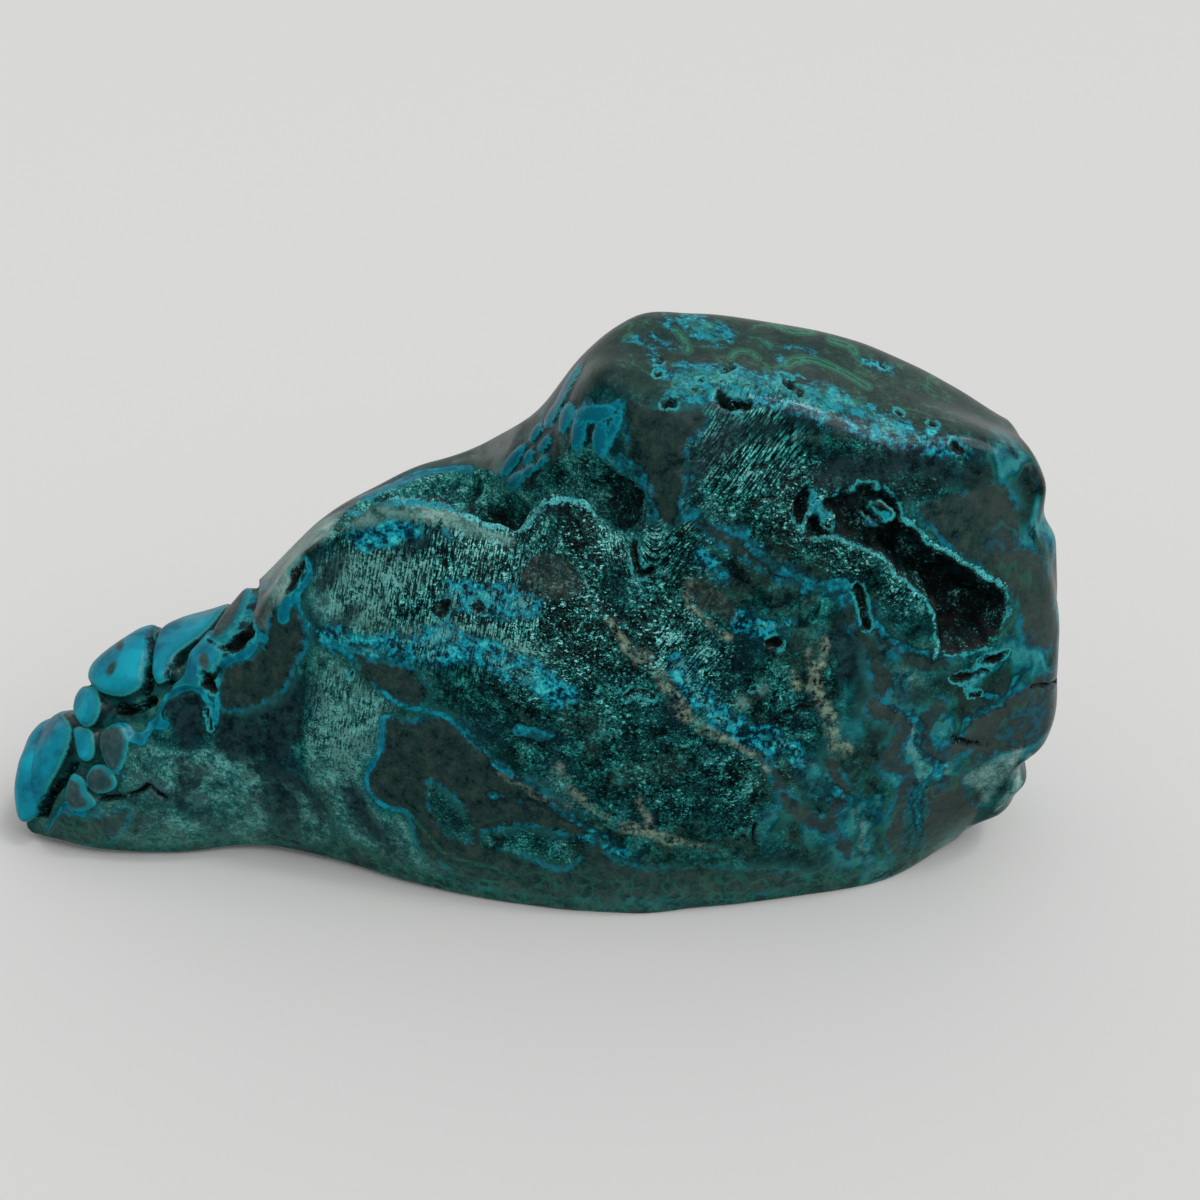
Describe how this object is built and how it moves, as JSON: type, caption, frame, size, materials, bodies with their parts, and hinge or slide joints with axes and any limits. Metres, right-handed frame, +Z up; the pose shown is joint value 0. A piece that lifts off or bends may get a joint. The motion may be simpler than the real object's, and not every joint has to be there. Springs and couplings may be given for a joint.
{
  "type": "chrysocolla and malachite stone",
  "caption": "Polished free-form stone of chrysocolla and malachite with a lumpy nose, a broad show face, open vugs and a flat base to stand on.",
  "frame": {"origin": "on the base plane, under the middle of the stone's bounding box", "axes": "+X from the low nose to the tall head, -Y out of the broad show face, +Z up"},
  "size_m": [0.1906, 0.0578, 0.0959],
  "materials": {
    "stone": "polished dark green and blue-green stone with turquoise bands, bright speckles and matt druse in the hollows"
  },
  "bodies": {
    "root": {"chrysocolla_stone": "stone"}
  },
  "joints": []
}
